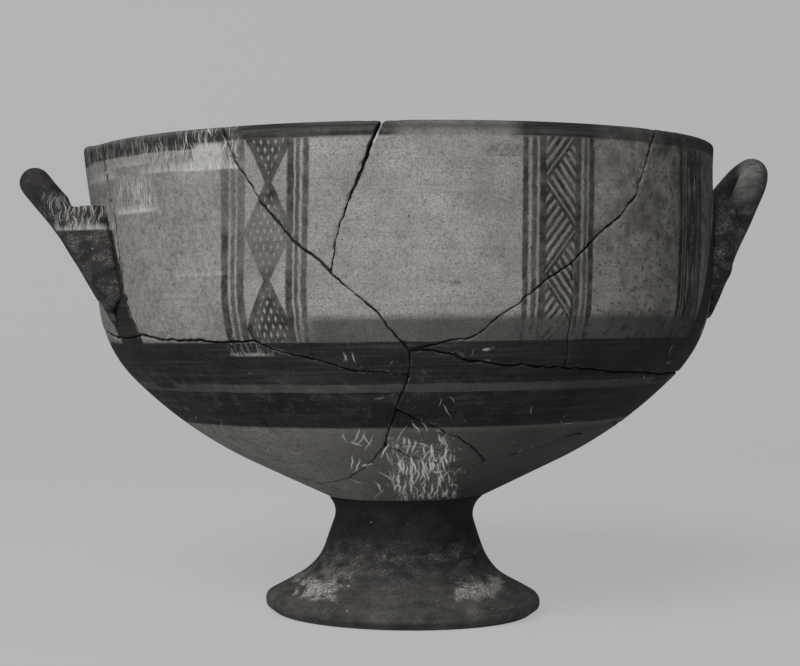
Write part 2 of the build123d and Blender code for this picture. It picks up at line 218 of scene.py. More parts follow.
# A patch of the surface, from side to side and from foot to top, with its own strength
def patch(tree, along, height, sides, levels, strength, soft):
    across = strokes(tree, along, [(*sides, strength)], soft)
    return both(tree, across, strokes(tree, height, [(*levels, 1.0)], soft))


def patches(tree, along, height, areas, soft):
    total = None
    for sides, levels, strength in areas:
        one = patch(tree, along, height, sides, levels, strength, soft)
        total = one if total is None else either(tree, total, one)
    return total


# The painted ornament, in degrees round the bowl and millimetres up it
ornament = {
    "bands": [(150.2, 170.0, 0.95), (79.0, 92.4, 1.0), (66.0, 77.5, 1.0), (-9.0, 39.2, 1.0)],
    "thinLine": [(76.5, 80.0, 0.74)],
    "wash": [(91.0, 99.2, 0.72)],
    "washSpan": [(-26.5, 58.0, 1.0)],
    "washSoft": (1.2, 3.0),  # millimetres up, degrees round
    "bandSoft": 0.3,
    "lineSoft": 0.16,
    "panel": [(91.0, 151.0, 0.95)],
    "chainLines": [
        (-39.2, -37.8, 1.0), (-37.3, -36.5, 0.8), (-36.1, -34.7, 0.9),
    ],
    "chainRightLines": [(-27.4, -26.2, 1.0), (-26.0, -25.3, 0.9), (-24.8, -23.8, 0.9)],
    "chainRightLean": 0.85,  # its right hand lines a little less
    "chainMiddle": -30.5,
    "chainSlant": (147.0, 108.0, 1.5),  # the first panel drifts to the left on its way down
    "chainCross": 138.0,
    "chainHalf": 14.0,
    "chainReach": 3.8,
    "chainLine": 0.62,
    "chainSpacing": 4.6,
    "chainShare": 0.6,
    "zigzagLines": [
        (10.0, 11.0, 1.0), (11.6, 12.5, 0.9), (12.9, 14.2, 1.0),
        (19.5, 20.6, 1.0), (21.1, 21.8, 0.8), (22.1, 23.2, 1.0),
    ],
    "zigzagSpan": [(13.8, 19.9, 1.0)],
    "zigzagTurn": 137.3,
    "zigzagHalf": 13.9,
    "zigzagLine": 0.38,
    "zigzagSpacing": 3.5,
    "zigzagShare": 0.56,
    "hatchSoft": 0.3,
    "sideLines": [
        (45.6, 46.9, 1.0), (47.2, 47.9, 1.0), (48.2, 49.1, 1.0),
        (52.3, 53.2, 1.0), (53.4, 54.1, 1.0), (54.3, 55.6, 1.0),
    ],
    "sideMiddle": 50.7,
    "sideReach": 1.7,
    "brush": 0.4,  # millimetres that the brush strays
    "quiver": 0.3,  # degrees that a stroke is uneven
    "tailWidth": 10.0,  # the painted tails under the handle arms
    "tailLevels": [(77.0, 130.0, 1.0)],
    "tailSoft": (1.2, 0.3),  # millimetres up, degrees round
    "tailEdges": {-1: (129.0, 19.0, 94.0, 26.0), 1: (128.0, 24.5, 100.0, 33.0)},
    "lowered": [((-90.0, -44.0), (148.9, 151.0), 0.95)],  # the rim band is broader at the left
    "rubSoft": 1.5,
    "rubbed": [  # where the paint is rubbed thin
        ((-84.0, -36.0), (154.2, 162.0), 0.6),
        ((-10.0, 9.0), (148.5, 152.6), 0.68),
        ((-10.0, 9.0), (152.4, 162.0), 0.42),
        ((24.0, 62.0), (148.5, 162.0), 0.25),
        ((-42.0, -33.5), (124.0, 146.0), 0.35),
        ((-36.5, -28.0), (113.0, 131.0), 0.45),
    ],
}


def chainOfLozenges(tree, azimuth, height, middle, reach):
    o = ornament
    across = addNode(tree, "ShaderNodeMath", {0: azimuth, 1: middle}, operation="SUBTRACT")
    off = addNode(tree, "ShaderNodeMath", {0: across}, operation="ABSOLUTE")
    up = addNode(tree, "ShaderNodeMath", {0: height, 1: o["chainCross"]}, operation="SUBTRACT")
    climb = addNode(tree, "ShaderNodeMath", {0: up, 1: o["chainHalf"]}, operation="PINGPONG")
    edge = addNode(tree, "ShaderNodeMath", {0: climb, 1: reach / o["chainHalf"]}, operation="MULTIPLY")
    beyond = addNode(tree, "ShaderNodeMath", {0: off, 1: edge}, operation="SUBTRACT")
    filled = under(tree, beyond, 0.0, o["lineSoft"])
    fromEdge = addNode(tree, "ShaderNodeMath", {0: beyond}, operation="ABSOLUTE")
    outline = under(tree, fromEdge, o["chainLine"], o["lineSoft"])
    rise = o["chainHalf"] / reach
    hatches = []
    for way in (-rise, rise):
        slanted = addNode(tree, "ShaderNodeMath", {0: across, 1: way, 2: height}, operation="MULTIPLY_ADD")
        hatches.append(hatching(tree, slanted, o["chainSpacing"], o["chainShare"], o["hatchSoft"]))
    crossed = both(tree, filled, either(tree, *hatches))
    return either(tree, outline, crossed)


def hatchedZigzag(tree, azimuth, height):
    o = ornament
    left, right = o["zigzagSpan"][0][:2]
    up = addNode(tree, "ShaderNodeMath", {0: height, 1: o["zigzagTurn"]}, operation="SUBTRACT")
    climb = addNode(tree, "ShaderNodeMath", {0: up, 1: o["zigzagHalf"]}, operation="PINGPONG")
    edge = spread(tree, climb, 0.0, o["zigzagHalf"], left, right)
    beyond = addNode(tree, "ShaderNodeMath", {0: azimuth, 1: edge}, operation="SUBTRACT")
    leftSide = under(tree, beyond, 0.0, o["lineSoft"])
    fromEdge = addNode(tree, "ShaderNodeMath", {0: beyond}, operation="ABSOLUTE")
    outline = under(tree, fromEdge, o["zigzagLine"], o["lineSoft"])
    rise = o["zigzagHalf"] / (right - left)
    hatches = []
    for way in (-rise, rise):
        slanted = addNode(tree, "ShaderNodeMath", {0: azimuth, 1: way, 2: height}, operation="MULTIPLY_ADD")
        hatches.append(hatching(tree, slanted, o["zigzagSpacing"], o["zigzagShare"], o["hatchSoft"]))
    filled = addNode(tree, "ShaderNodeMix", {0: leftSide, 2: hatches[1], 3: hatches[0]})
    within = strokes(tree, azimuth, o["zigzagSpan"], o["lineSoft"])
    return both(tree, within, either(tree, outline, filled))


# The tail of paint that runs from each handle arm down to the bands
def handleTails(tree, azimuth, height):
    o = ornament
    tails = None
    for side, (topHeight, topEdge, lowHeight, lowEdge) in o["tailEdges"].items():
        turned = addNode(tree, "ShaderNodeMath", {0: azimuth, 1: side}, operation="MULTIPLY")
        fromMiddle = addNode(
            tree, "ShaderNodeMath", {0: turned, 1: bowlFrame["quarterTurn"]}, operation="SUBTRACT"
        )
        off = addNode(tree, "ShaderNodeMath", {0: fromMiddle}, operation="ABSOLUTE")
        front = addNode(
            tree,
            "ShaderNodeMapRange",
            {"Value": height, 1: topHeight, 2: lowHeight, 3: topEdge, 4: lowEdge},
            clamp=False,
        )
        beyond = addNode(tree, "ShaderNodeMath", {0: off, 1: front}, operation="SUBTRACT")
        tail = strokes(tree, beyond, [(-o["tailWidth"], 0.0, 1.0)], o["tailSoft"][1])
        tails = tail if tails is None else either(tree, tails, tail)
    return both(tree, tails, strokes(tree, height, o["tailLevels"], o["tailSoft"][0]))


def paintedOrnament(tree, point, azimuth, height):
    o = ornament
    stray = spread(tree, clouds(tree, point, 16.0, 2.0), 0.0, 1.0, -o["brush"], o["brush"])
    wavyHeight = addNode(tree, "ShaderNodeMath", {0: height, 1: stray}, operation="ADD")
    bands = strokes(tree, wavyHeight, o["bands"], o["bandSoft"])
    bands = either(tree, bands, strokes(tree, wavyHeight, o["thinLine"], o["bandSoft"]))
    bands = either(tree, bands, patches(tree, azimuth, wavyHeight, o["lowered"], o["bandSoft"]))
    wash = both(
        tree,
        strokes(tree, wavyHeight, o["wash"], o["washSoft"][0]),
        strokes(tree, azimuth, o["washSpan"], o["washSoft"][1]),
    )
    quarter = bowlFrame["quarterTurn"]
    folded = addNode(tree, "ShaderNodeMath", {0: azimuth, 1: -quarter, 2: quarter}, operation="WRAP")
    quiver = spread(tree, clouds(tree, point, 3.0, 3.0, shift=21.0), 0.0, 1.0, -o["quiver"], o["quiver"])
    wavy = addNode(tree, "ShaderNodeMath", {0: folded, 1: quiver}, operation="ADD")
    slantTop, slantFoot, slantShift = o["chainSlant"]
    slant = spread(tree, height, slantTop, slantFoot, 0.0, slantShift)
    drifting = addNode(tree, "ShaderNodeMath", {0: wavy, 1: slant}, operation="ADD")
    leaning = addNode(
        tree, "ShaderNodeMath", {0: slant, 1: o["chainRightLean"], 2: wavy}, operation="MULTIPLY_ADD"
    )
    panels = chainOfLozenges(tree, drifting, height, o["chainMiddle"], o["chainReach"])
    panels = either(tree, panels, strokes(tree, drifting, o["chainLines"], o["lineSoft"]))
    panels = either(tree, panels, strokes(tree, leaning, o["chainRightLines"], o["lineSoft"]))
    panels = either(tree, panels, chainOfLozenges(tree, wavy, height, o["sideMiddle"], o["sideReach"]))
    panels = either(tree, panels, hatchedZigzag(tree, wavy, height))
    for lines in ("zigzagLines", "sideLines"):
        panels = either(tree, panels, strokes(tree, wavy, o[lines], o["lineSoft"]))
    panels = both(tree, panels, strokes(tree, height, o["panel"], o["bandSoft"]))
    panels = both(tree, panels, spread(tree, clouds(tree, point, 4.0, 6.0, shift=63.0), 0.35, 0.6, 0.7, 1.0))
    painted = either(tree, either(tree, bands, wash), panels)
    painted = either(tree, painted, handleTails(tree, azimuth, height))
    return lessOf(tree, painted, patches(tree, azimuth, height, o["rubbed"], o["rubSoft"]))


# Where the surface was scraped in upright strokes that stop at a straight lower edge: from side to side,
# lower edge, how far up the strokes reach, strength; millimetres, or degrees on the wall
scrapes = {
    "wall": [
        ((-47.5, -36.5), 142.6, 160.0, 1.0),
        ((-57.5, -47.0), 143.0, 156.0, 0.6),
        ((-67.8, -54.5), 131.8, 146.0, 0.85),
        ((-80.0, -70.0), 127.5, 141.0, 0.8),
        ((-84.0, -66.0), 143.0, 161.0, 0.55),
        ((-66.0, -57.0), 146.0, 160.0, 0.4),
        ((-51.0, -40.0), 112.0, 120.0, 0.35),
        ((-40.5, -33.5), 88.3, 93.5, 0.7),
    ],
    "handle": [((-115.0, -93.0), 127.8, 141.0, 0.65)],
    "girth": 1.83,  # millimetres to a degree of the wall
    "film": 0.4,  # the share of a stroke's reach that is rubbed all over
    "filmEdge": (0.82, 1.15),  # where the film starts and is full
    "fray": 3.0,  # how far the sides of a patch stray
    "fade": 6.0,  # millimetres over which the strokes thin out at their tops
    "strength": 0.85,
    "bareSoft": 0.5,
    "bare": [((-44.4, -38.4), (142.9, 149.8), 0.55)],  # and where everything was scraped off
    "hairs": [  # millimetres, with the lean in millimetres to one of height
        {"apart": 0.7, "rows": 8.0, "width": 0.17, "lean": 0.1, "sway": 1.4, "bend": 5.0,
         "share": 0.7, "faint": 0.3, "shift": 3.0},
        {"apart": 0.9, "rows": 10.0, "width": 0.18, "lean": -0.25, "sway": 2.0, "bend": 6.0,
         "share": 0.6, "faint": 0.3, "shift": 17.0},
        {"apart": 1.4, "rows": 12.0, "width": 0.22, "lean": 0.3, "sway": 2.6, "bend": 7.0,
         "share": 0.6, "faint": 0.4, "shift": 31.0},
    ],
}


def scraped(tree, point, along, height, girth, areas):
    streak = clouds(tree, point, 0.8, 4.0, (1.0, 1.0, 7.0), 7.0)
    ragged = clouds(tree, point, 3.0, 4.0, shift=37.0)
    ragged = spread(tree, ragged, 0.0, 1.0, -scrapes["fray"], scrapes["fray"])
    frayed = addNode(tree, "ShaderNodeMath", {0: along, 1: ragged}, operation="ADD")
    around = addNode(tree, "ShaderNodeMath", {0: along, 1: girth}, operation="MULTIPLY")
    hair = None
    for kind in scrapes["hairs"]:
        one = hairs(tree, point, around, height, kind)
        hair = one if hair is None else either(tree, hair, one)
    total = None
    for sides, low, high, strength in areas:
        near = spread(tree, height, low, low + scrapes["film"] * (high - low), 1.0, 0.0)
        film = addNode(tree, "ShaderNodeMath", {0: near, 1: 0.6, 2: streak}, operation="MULTIPLY_ADD")
        film = spread(tree, film, *scrapes["filmEdge"], 0.0, 0.9)
        fading = both(tree, hair, spread(tree, height, high, high - scrapes["fade"]))
        rubbed = either(tree, film, fading)
        rubbed = both(tree, rubbed, spread(tree, height, low - 0.4, low + 0.3))
        rubbed = both(tree, rubbed, strokes(tree, frayed, [(*sides, strength)], 1.2))
        total = rubbed if total is None else either(tree, total, rubbed)
    return total


# Fine pale root marks under the bowl, by millimetres across and up, and a few stray ones elsewhere
rootMarks = {
    "sparse": ((-19.0, 15.0), (41.0, 66.0), 1.0),
    "dense": ((-4.0, 14.0), (41.0, 61.0), 1.0),
    "few": [
        {"apart": 2.2, "rows": 20.0, "width": 0.24, "lean": -0.4, "sway": 3.0, "bend": 12.0,
         "share": 0.7, "faint": 0.4, "shift": 41.0},
        {"apart": 2.8, "rows": 18.0, "width": 0.27, "lean": 0.6, "sway": 3.5, "bend": 13.0,
         "share": 0.6, "faint": 0.4, "shift": 53.0},
    ],
    "many": [
        {"apart": 1.1, "rows": 9.0, "width": 0.27, "lean": 0.1, "sway": 1.2, "bend": 8.0,
         "share": 0.7, "faint": 0.6, "shift": 5.0},
        {"apart": 1.5, "rows": 12.0, "width": 0.34, "lean": -0.2, "sway": 1.5, "bend": 9.0,
         "share": 0.7, "faint": 0.7, "shift": 29.0},
        {"apart": 1.9, "rows": 14.0, "width": 0.36, "lean": 0.15, "sway": 1.5, "bend": 9.0,
         "share": 0.7, "faint": 0.8, "shift": 83.0},
    ],
    "lying": {"apart": 4.0, "rows": 24.0, "width": 0.26, "lean": 0.15, "sway": 5.0, "bend": 15.0,
              "share": 0.8, "faint": 0.5, "shift": 13.0},
    "haze": 0.3,
    "fray": 9.0,  # millimetres that the edge of the marks strays
    "soft": 2.0,
    "front": (-5.0, 2.0),  # they are on the front alone
    "strayTop": (96.0, 3.0),  # and the stray ones stay under this height
}


def rootMarked(tree, point, height):
    across = addNode(
        tree, "ShaderNodeVectorMath", {0: point, 1: bowlFrame["sideways"]}, operation="DOT_PRODUCT"
    )
    across = across.outputs["Value"]
    depth = addNode(tree, "ShaderNodeSeparateXYZ", {0: point}).outputs[1]
    front = under(tree, depth, *rootMarks["front"])
    amounts = {}
    for name in ("few", "many"):
        for kind in rootMarks[name]:
            one = hairs(tree, point, across, height, kind)
            amounts[name] = either(tree, amounts[name], one) if name in amounts else one
    lying = hairs(tree, point, height, across, rootMarks["lying"])
    amounts["few"] = either(tree, amounts["few"], lying)
    fray = clouds(tree, point, 5.0, 4.0, shift=91.0)
    off = spread(tree, fray, 0.0, 1.0, -rootMarks["fray"], rootMarks["fray"])
    sideways = addNode(tree, "ShaderNodeMath", {0: across, 1: off}, operation="ADD")
    upwards = addNode(tree, "ShaderNodeMath", {0: height, 1: off}, operation="SUBTRACT")
    dense = patch(tree, sideways, upwards, *rootMarks["dense"], rootMarks["soft"])
    sparse = patch(tree, sideways, upwards, *rootMarks["sparse"], rootMarks["soft"])
    scattered = spread(tree, clouds(tree, point, 11.0, 2.0, shift=47.0), 0.62, 0.7, 0.0, 0.35)
    scattered = both(tree, scattered, under(tree, height, *rootMarks["strayTop"]))
    haze = clouds(tree, point, 1.0, 4.0, (1.0, 1.0, 3.0), 71.0)
    haze = spread(tree, haze, 0.45, 0.7, 0.0, rootMarks["haze"])
    marks = both(tree, either(tree, amounts["many"], haze), dense)
    marks = either(tree, marks, both(tree, amounts["few"], sparse))
    marks = either(tree, marks, both(tree, amounts["few"], scattered))
    return both(tree, marks, front)


# Fired clay under a pale slip, brushed with dark slip: matt, mottled, rubbed thin, stained and scraped, with
# painted shade on its right side and along its cracks there
clayLook = {
    # the darkest slip tone is used for stains and grain, and for the painted shade on the right side
    "slipPale": "#a09d99", "slipDull": "#83807c", "slipStainAndShade": "#413e3b",
    "grit": "#2a2826", "fleck": "#b8b6b3",
    "paint": "#151413", "paintThin": "#262422", "break": "#322e2b", "scrape": "#cbc9c6", "edge": "#8f8c88",
    "root": "#faf9f7", "rough": 0.8, "sheen": 0.2,
    "unevenSide": (-62.0, 0.8, 0.95),  # azimuth, and the cosines where it starts and is full
    "leftStain": (-78.0, 0.55, 1.0), "oldBreak": (-75.0, 0.97, 0.99),
    "smudges": [  # degrees, millimetres, strength
        ((4.0, 9.6), (144.3, 148.0), 0.45),
        ((-2.0, -0.2), (107.9, 109.0), 0.9),
    ],
    # painted shade on the right side, turned from the lamp: azimuth, and the cosines where it starts and is
    # full
    "shadeAndStain": (52.0, 0.7, 0.985),
    "darkUnder": (62.0, -0.5, 0.8),
    "shadeRise": (98.0, 124.0, 0.7, 1.0),  # the painted shade is weaker low down
    "darkUnderTop": (68.0, 4.0),
    "smudgeSoft": 0.4,
    "fineGrit": (2.3, 0.19, 0.3), "coarseGrit": (9.0, 0.36, 0.4),  # spacing, size, share of them shown
    "flecks": (5.0, 0.22, 0.3),
    "broken": (0.02, 0.2),  # a face that looks this little outwards is a break
    "inside": (-0.05, -0.25),  # and one that looks inwards is the inside
    "mottle": 15.0, "blotch": 5.0, "crust": 1.6, "grain": 0.5, "wheel": 0.9,  # millimetres
    "wheelTrack": (34.0, 34.0, 1.0),  # how far the marks of the wheel are drawn out
}


# The matt, slightly uneven surface that both clay materials end in
relief = {"wheelShare": 0.7, "strength": 0.4, "depth": 0.2 * mm}


def mattClay(tree, colour, wheel, grain, look):
    uneven = addNode(
        tree, "ShaderNodeMath", {0: wheel, 1: relief["wheelShare"], 2: grain}, operation="MULTIPLY_ADD"
    )
    bump = addNode(
        tree,
        "ShaderNodeBump",
        {"Height": uneven, "Strength": relief["strength"], "Distance": relief["depth"]},
    )
    shader = addNode(
        tree,
        "ShaderNodeBsdfPrincipled",
        {
            "Base Color": colour,
            "Roughness": look["rough"],
            "Specular IOR Level": look["sheen"],
            "Normal": bump,
        },
    )
    addNode(tree, "ShaderNodeOutputMaterial", {"Surface": shader})


def towards(tree, azimuth, middle, start, full):  # grows towards one side of the bowl
    off = addNode(tree, "ShaderNodeMath", {0: azimuth, 1: middle}, operation="SUBTRACT")
    off = addNode(tree, "ShaderNodeMath", {0: off}, operation="RADIANS")
    near = addNode(tree, "ShaderNodeMath", {0: off}, operation="COSINE")
    return spread(tree, near, start, full)


def paintedClayMaterial():
    look = clayLook
    material, tree = newMaterial("paintedSlipOnClay")
    point, azimuth, height, facing = bowlPlace(tree)
    mottle = clouds(tree, point, look["mottle"], 5.0)
    blotch = clouds(tree, point, look["blotch"], 8.0, shift=40.0)
    grain = clouds(tree, point, look["grain"], 5.0, shift=5.0)
    wheel = clouds(tree, point, look["wheel"], 4.0, look["wheelTrack"], 9.0)
    slip = blend(tree, spread(tree, mottle, 0.32, 0.68), linear(look["slipDull"]), linear(look["slipPale"]))
    crust = clouds(tree, point, look["crust"], 6.0, shift=15.0)
    # Painted shade: the slip darkens in blotches on the right side, turned from the lamp, less low down; the
    # smudges are its own dirt
    side = towards(tree, azimuth, *look["shadeAndStain"])
    shadeAndStain = both(tree, side, spread(tree, blotch, 0.35, 0.65, 0.4, 1.0))
    shadeAndStain = both(tree, shadeAndStain, spread(tree, height, *look["shadeRise"]))
    shadeAndStain = either(tree, shadeAndStain, both(tree, side, spread(tree, crust, 0.5, 0.62)))
    shadeAndStain = either(tree, shadeAndStain, both(tree, towards(tree, azimuth, *look["leftStain"]), 0.2))
    smudged = patches(tree, azimuth, height, look["smudges"], look["smudgeSoft"])
    shadeAndStain = either(tree, shadeAndStain, both(tree, smudged, spread(tree, crust, 0.4, 0.55, 0.2, 1.0)))
    # The slip is darker under the bowl, most towards the right
    darkUnder = both(tree, towards(tree, azimuth, *look["darkUnder"]), under(tree, height, *look["darkUnderTop"]))
    darkUnder = both(tree, darkUnder, spread(tree, mottle, 0.3, 0.6, 0.85, 1.0))
    slip = blend(tree, either(tree, shadeAndStain, darkUnder), slip, linear(look["slipStainAndShade"]))
    slip = blend(tree, spread(tree, grain, 0.46, 0.72, 0.0, 0.8), slip, linear(look["slipStainAndShade"]))
    uneven = towards(tree, azimuth, *look["unevenSide"])
    flaked = addNode(tree, "ShaderNodeMath", {0: blotch, 1: 0.3, 2: crust}, operation="MULTIPLY_ADD")
    pale = both(tree, uneven, spread(tree, flaked, 0.66, 0.86, 0.0, 0.5))
    dull = both(tree, uneven, spread(tree, flaked, 0.64, 0.46, 0.0, 0.4))
    slip = blend(tree, pale, slip, linear(look["fleck"]))
    slip = blend(tree, dull, slip, linear(look["slipStainAndShade"]))
    slip = blend(tree, spread(tree, crust, 0.52, 0.74, 0.0, 0.35), slip, linear(look["slipStainAndShade"]))
    slip = blend(tree, spread(tree, wheel, 0.5, 0.72, 0.0, 0.2), slip, linear(look["slipStainAndShade"]))
    slip = blend(tree, both(tree, specks(tree, point, *look["fineGrit"]), 0.7), slip, linear(look["grit"]))
    slip = blend(tree, both(tree, specks(tree, point, *look["coarseGrit"]), 0.8), slip, linear(look["grit"]))
    paint = paintedOrnament(tree, point, azimuth, height)
    worn = both(tree, spread(tree, wheel, 0.45, 0.7), spread(tree, height, 138.0, 150.5, 0.12, 0.26))
    worn = either(tree, worn, spread(tree, grain, 0.54, 0.74, 0.0, 0.3))
    paint = lessOf(tree, paint, worn)
    dark = blend(tree, spread(tree, mottle, 0.35, 0.75), linear(look["paint"]), linear(look["paintThin"]))
    colour = blend(tree, paint, slip, dark)
    colour = blend(tree, both(tree, specks(tree, point, *look["flecks"]), 0.6), colour, linear(look["fleck"]))
    marks = scraped(tree, point, azimuth, height, scrapes["girth"], scrapes["wall"])
    bare = patches(tree, azimuth, height, scrapes["bare"], scrapes["bareSoft"])
    marks = either(tree, marks, both(tree, bare, spread(tree, crust, 0.3, 0.6, 0.5, 1.0)))
    colour = blend(tree, both(tree, marks, scrapes["strength"]), colour, linear(look["scrape"]))
    colour = blend(tree, rootMarked(tree, point, height), colour, linear(look["root"]))
    # The broken edges are darkened: dirt all along them, painted shade along the cracks on the right side,
    # turned from the lamp, and dirt at the old break at the left
    crackGrimeAndShade = strokes(tree, facing, [(0.0, 0.75, 0.4)], 0.08)
    shadeAndDirt = either(tree, side, towards(tree, azimuth, *look["oldBreak"]))
    crackGrimeAndShade = either(tree, crackGrimeAndShade, both(tree, strokes(tree, facing, [(0.0, 0.78, 0.9)], 0.05), shadeAndDirt))
    colour = blend(tree, crackGrimeAndShade, colour, linear(look["break"]))
    edge = both(tree, strokes(tree, facing, [(0.42, 0.86, 0.55)], 0.06), spread(tree, blotch, 0.5, 0.62))
    edge = lessOf(tree, both(tree, edge, spread(tree, grain, 0.4, 0.6)), side)
    colour = blend(tree, edge, colour, linear(look["edge"]))
    colour = blend(tree, spread(tree, facing, *look["broken"]), linear(look["break"]), colour)
    colour = blend(tree, spread(tree, facing, *look["inside"]), colour, dark)
    mattClay(tree, colour, wheel, grain, look)
    return material


# The same clay covered all over with dark slip: mottled, paler low on the foot, rubbed in patches and
# scraped, with painted light on the top of the right loop
darkLook = {
    "paint": "#1c1b1a", "paintThin": "#322f2d", "footPale": "#65625e", "rubbed": "#b4b1ad", "scrape": "#cbc9c6",
    "rubs": [  # millimetres across and up
        ((-37.0, -23.0), (9.3, 13.3), 1.0),
        ((-29.0, -18.0), (13.5, 17.5), 0.3),
        ((14.5, 30.5), (9.3, 13.0), 0.85),
    ],
    "fray": 4.0,  # millimetres that the edges of the rubbed patches stray
    "paleTowardsFoot": (20.0, 9.0),  # heights between which the foot grows paler
    "ledge": (2.2, 1.0),
    "kept": [  # heights where most of the slip is left
        (-5.0, 18.0, 0.5), (24.0, 60.0, 0.85), (136.0, 170.0, 0.6),
    ],
    "bow": ((104.0, 122.0), (143.0, 175.0), 0.5),  # the top of the right loop is paler on its front: painted light from above, and wear
    "bowBack": (-2.0, 5.0),
    "bowSoft": 7.0,
    "flecks": [(4.0, 0.25, 0.35), (9.0, 0.45, 0.4)],  # spacing, size, share of them shown
    "mottle": 9.0, "blotch": 3.0, "grain": 0.32, "wheel": 1.1,  # millimetres
    "wheelTrack": (25.0, 25.0, 1.0),
    "rough": 0.8, "sheen": 0.2,
}


def darkSlipMaterial():
    look = darkLook
    material, tree = newMaterial("wornDarkSlip")
    point, _, height, _ = bowlPlace(tree)
    across = addNode(
        tree, "ShaderNodeVectorMath", {0: point, 1: bowlFrame["sideways"]}, operation="DOT_PRODUCT"
    )
    across = across.outputs["Value"]
    mottle = clouds(tree, point, look["mottle"], 6.0, shift=4.0)
    blotch = clouds(tree, point, look["blotch"], 8.0, (2.0, 2.0, 1.0), 14.0)
    grain = clouds(tree, point, look["grain"], 4.0, (1.6, 1.6, 1.0), 5.0)
    wheel = clouds(tree, point, look["wheel"], 4.0, look["wheelTrack"], 2.0)
    colour = blend(tree, spread(tree, mottle, 0.35, 0.75), linear(look["paint"]), linear(look["paintThin"]))
    # the foot grows paler low down, and at its standing edge
    paleTowardsFoot = spread(tree, height, *look["paleTowardsFoot"], 0.0, 0.5)
    low = either(tree, paleTowardsFoot, spread(tree, height, *look["ledge"], 0.0, 0.75))
    low = both(tree, low, spread(tree, mottle, 0.3, 0.65, 0.4, 1.0))
    low = both(tree, low, spread(tree, wheel, 0.35, 0.6, 0.6, 1.0))
    colour = blend(tree, low, colour, linear(look["footPale"]))
    # Painted highlight and wear: the top of the right loop is paler on its front
    bow = patch(tree, across, height, *look["bow"], look["bowSoft"])
    bow = both(tree, bow, spread(tree, blotch, 0.38, 0.62, 0.35, 1.0))
    depth = addNode(tree, "ShaderNodeSeparateXYZ", {0: point}).outputs[1]
    bow = both(tree, bow, under(tree, depth, *look["bowBack"]))
    colour = blend(tree, bow, colour, linear(look["rubbed"]))
    crumbs = both(tree, spread(tree, blotch, 0.42, 0.66, 0.0, 0.45), spread(tree, grain, 0.45, 0.65))
    crumbs = lessOf(tree, crumbs, strokes(tree, height, look["kept"], 3.0))
    colour = blend(tree, crumbs, colour, linear(look["rubbed"]))
    off = spread(tree, clouds(tree, point, 5.0, 5.0, shift=33.0), 0.0, 1.0, -look["fray"], look["fray"])
    frayed = addNode(tree, "ShaderNodeMath", {0: off, 1: 2.0, 2: across}, operation="MULTIPLY_ADD")
    rubs = patches(tree, frayed, addNode(tree, "ShaderNodeMath", {0: height, 1: off}), look["rubs"], 1.2)
    granular = both(tree, spread(tree, grain, 0.42, 0.56), spread(tree, blotch, 0.38, 0.5))
    colour = blend(tree, both(tree, rubs, granular), colour, linear(look["rubbed"]))
    flecks = either(tree, *[specks(tree, point, *kind) for kind in look["flecks"]])
    colour = blend(tree, both(tree, flecks, 0.6), colour, linear(look["rubbed"]))
    marks = scraped(tree, point, across, height, 1.0, scrapes["handle"])
    colour = blend(tree, both(tree, marks, scrapes["strength"]), colour, linear(look["scrape"]))
    mattClay(tree, colour, wheel, grain, look)
    return material


# Old mending glue, brown-black, lumpy and dull
glueLook = {"dark": "#0b0a09", "pale": "#191715", "lumps": 1.5 * mm, "rough": 0.6, "grid": 0.37 * mm}


def adhesiveMaterial():
    material, tree = newMaterial("oldMendingGlue")
    own = addNode(tree, "ShaderNodeTexCoord")
    lumps = clouds(tree, own.outputs["Object"], glueLook["lumps"], 2.0)
    colour = blend(tree, lumps, linear(glueLook["dark"]), linear(glueLook["pale"]))
    shader = addNode(
        tree, "ShaderNodeBsdfPrincipled", {"Base Color": colour, "Roughness": glueLook["rough"]}
    )
    addNode(tree, "ShaderNodeOutputMaterial", {"Surface": shader})
    return material


mergeWithin = 0.002 * mm


# A copy of a CAD node to work on, merged and closed, with nothing of the node's own marks
def copyNode(nodeName, pieceName):
    bpy.ops.object.select_all(action="DESELECT")
    node = frame["nodes"][nodeName]
    node.select_set(True)
    bpy.context.view_layer.objects.active = node
    bpy.ops.object.duplicate()
    piece = bpy.context.active_object
    bpy.ops.object.parent_clear(type="CLEAR_KEEP_TRANSFORM")
    piece.name = pieceName
    piece.data.name = pieceName
    piece.data.materials.clear()
    for mark in list(piece.keys()):
        if mark.startswith("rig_"):
            del piece[mark]
    bpy.ops.object.mode_set(mode="EDIT")
    bpy.ops.mesh.select_all(action="SELECT")
    bpy.ops.mesh.remove_doubles(threshold=mergeWithin)
    bpy.ops.object.mode_set(mode="OBJECT")
    return piece


def applyModifier(piece, kind, **settings):
    bpy.context.view_layer.objects.active = piece
    modifier = piece.modifiers.new(kind, kind)
    for name, value in settings.items():
        setattr(modifier, name, value)
    bpy.ops.object.modifier_apply(modifier=modifier.name)


def finishPiece(piece, nodeName, material):
    piece.data.materials.append(material)
    bpy.ops.object.select_all(action="DESELECT")
    piece.select_set(True)
    bpy.context.view_layer.objects.active = piece
    bpy.ops.object.shade_smooth()
    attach(piece, "root")
    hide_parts(nodeName)


noise.seed_set(4)  # the same shifts on every run

